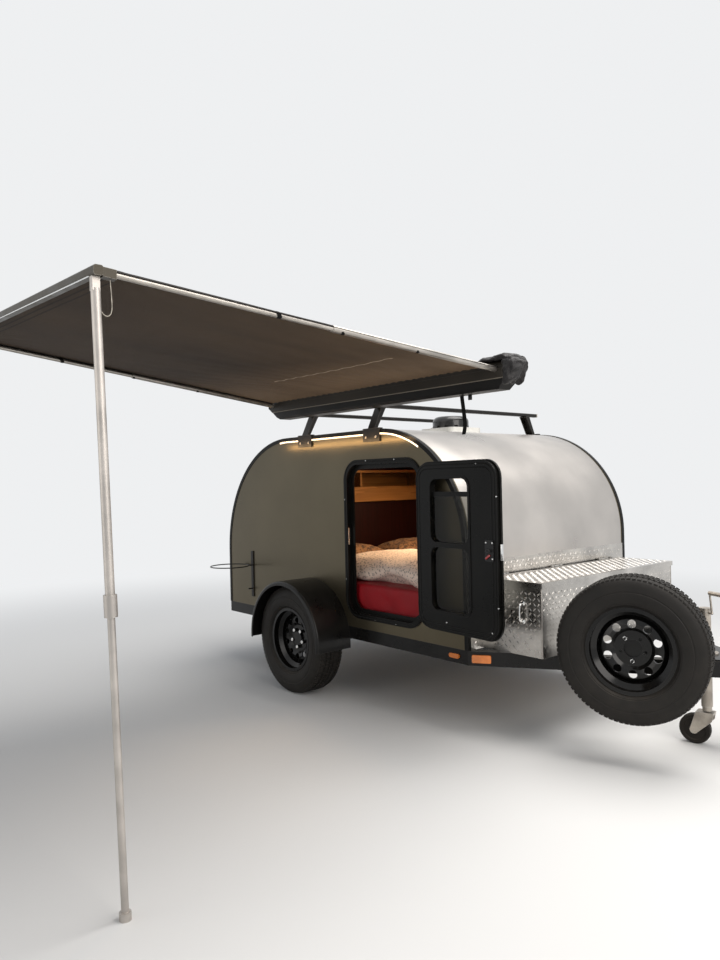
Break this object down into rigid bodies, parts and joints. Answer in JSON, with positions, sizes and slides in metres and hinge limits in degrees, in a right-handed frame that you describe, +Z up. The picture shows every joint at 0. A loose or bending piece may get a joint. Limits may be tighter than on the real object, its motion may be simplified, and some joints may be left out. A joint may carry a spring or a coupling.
{
  "type": "teardrop camping trailer",
  "caption": "Teardrop camping trailer on its jack, bed inside, side door open, awning pulled out over the doorway.",
  "frame": {"origin": "on the ground under the middle of the whole trailer with its awning out", "axes": "+X towards the coupler, +Y to the trailer's left, +Z up"},
  "size_m": [3.8066, 3.906, 2.1481],
  "materials": {
    "black_steel": "satin black paint",
    "grey_steel": "zinc-grey paint",
    "brushed_skin": "brushed, satin",
    "side_skin": "painted bronze grey, satin",
    "tread_plate": "bright diamond tread",
    "silver_tube": "anodised",
    "case_grey": "powder coat, dark grey",
    "black_trim": "matt black",
    "rack_black": "matt black powder coat",
    "vent_white": "white",
    "vent_smoke": "smoke grey",
    "window_tint": "tinted",
    "latch_black": "black with bright parts",
    "red_lens": "red lens",
    "amber_lens": "amber lens",
    "led": "lit, warm white",
    "honey_wood": "clear varnish",
    "red_wood": "dark red stain",
    "plywood": "sealed",
    "red_sheet": "cotton",
    "pale_blanket": "small-figured cotton",
    "tan_pillow": "figured cotton",
    "canopy_cloth": "coated canvas",
    "bag_cloth": "coated canvas",
    "tyre": "rubber",
    "caster_rubber": "black"
  },
  "bodies": {
    "trailer": {"chassis_frame": "black_steel", "coupler": "black_steel", "axle": "black_steel", "fenders": "black_steel", "floor": "plywood", "side_wall_right": "side_skin", "side_wall_left": "side_skin", "roof_skin": "brushed_skin", "rear_panel": "brushed_skin", "edge_trims": "black_trim", "stone_guard": "tread_plate", "door_frames": "black_trim", "bulkhead": "red_wood", "cabin_shelf": "honey_wood", "galley_counter": "honey_wood", "mattress": "red_sheet", "blanket": "pale_blanket", "pillows": "tan_pillow", "tongue_box": "tread_plate", "spare_carrier": "black_steel", "spare_wheel": "black_steel", "spare_tyre": "tyre", "rack_feet": "rack_black", "rack_bars": "rack_black", "vent_base": "vent_white", "led_strip": "led", "hoop_holder": "rack_black", "awning_case": "case_grey", "awning_bag": "bag_cloth", "awning_rafters": "silver_tube", "awning_lead_rail": "silver_tube", "awning_legs": "silver_tube", "awning_canopy": "canopy_cloth", "tail_lamps": "red_lens", "marker_lamps": "amber_lens", "jack_tube": "grey_steel", "jack_leg": "grey_steel"},
    "wheel_right_body": {"wheel_right": "black_steel", "tyre_right": "tyre"},
    "wheel_left_body": {"wheel_left": "black_steel", "tyre_left": "tyre"},
    "door_right_body": {"door_right": "black_trim", "door_window_right": "window_tint", "door_latch_right": "latch_black"},
    "door_left_body": {"door_left": "black_trim", "door_window_left": "window_tint", "door_latch_left": "latch_black"},
    "hatch_body": {"galley_hatch": "brushed_skin"},
    "box_lid_body": {"tongue_box_lid": "tread_plate"},
    "vent_lid_body": {"vent_lid": "vent_smoke"},
    "jack_fork_body": {"jack_fork": "grey_steel"},
    "jack_wheel_body": {"jack_wheel": "caster_rubber"}
  },
  "joints": [
    {"name": "wheel_right_spin", "type": "hinge", "parent": "trailer", "child": "wheel_right_body", "pos_m": [-0.7993, 0.018, 0.345], "axis": [0, 1, 0], "continuous": true},
    {"name": "wheel_left_spin", "type": "hinge", "parent": "trailer", "child": "wheel_left_body", "pos_m": [-0.7993, 1.808, 0.345], "axis": [0, 1, 0], "continuous": true},
    {"name": "door_right_hinge", "type": "hinge", "parent": "trailer", "child": "door_right_body", "pos_m": [0.2307, 0.112, 1.006], "axis": [0, 0, 1], "range_deg": [-176, 0]},
    {"name": "door_left_hinge", "type": "hinge", "parent": "trailer", "child": "door_left_body", "pos_m": [0.2307, 1.714, 1.006], "axis": [0, 0, 1], "range_deg": [-176, 0]},
    {"name": "hatch_hinge", "type": "hinge", "parent": "trailer", "child": "hatch_body", "pos_m": [-1.1793, 0.913, 1.6765], "axis": [0, 1, 0], "range_deg": [0, 80]},
    {"name": "box_lid_hinge", "type": "hinge", "parent": "trailer", "child": "box_lid_body", "pos_m": [0.5747, 0.913, 0.836], "axis": [0, -1, 0], "range_deg": [0, 80]},
    {"name": "vent_lid_hinge", "type": "hinge", "parent": "trailer", "child": "vent_lid_body", "pos_m": [-0.4823, 1.023, 1.727], "axis": [0, -1, 0], "range_deg": [0, 60]},
    {"name": "jack_swivel", "type": "hinge", "parent": "trailer", "child": "jack_fork_body", "pos_m": [1.4507, 0.913, 0.162], "axis": [0, 0, 1], "continuous": true},
    {"name": "jack_wheel_spin", "type": "hinge", "parent": "jack_fork_body", "child": "jack_wheel_body", "pos_m": [1.39397, 0.90094, 0.075], "axis": [-0.2079, 0.9781, 0], "continuous": true}
  ]
}
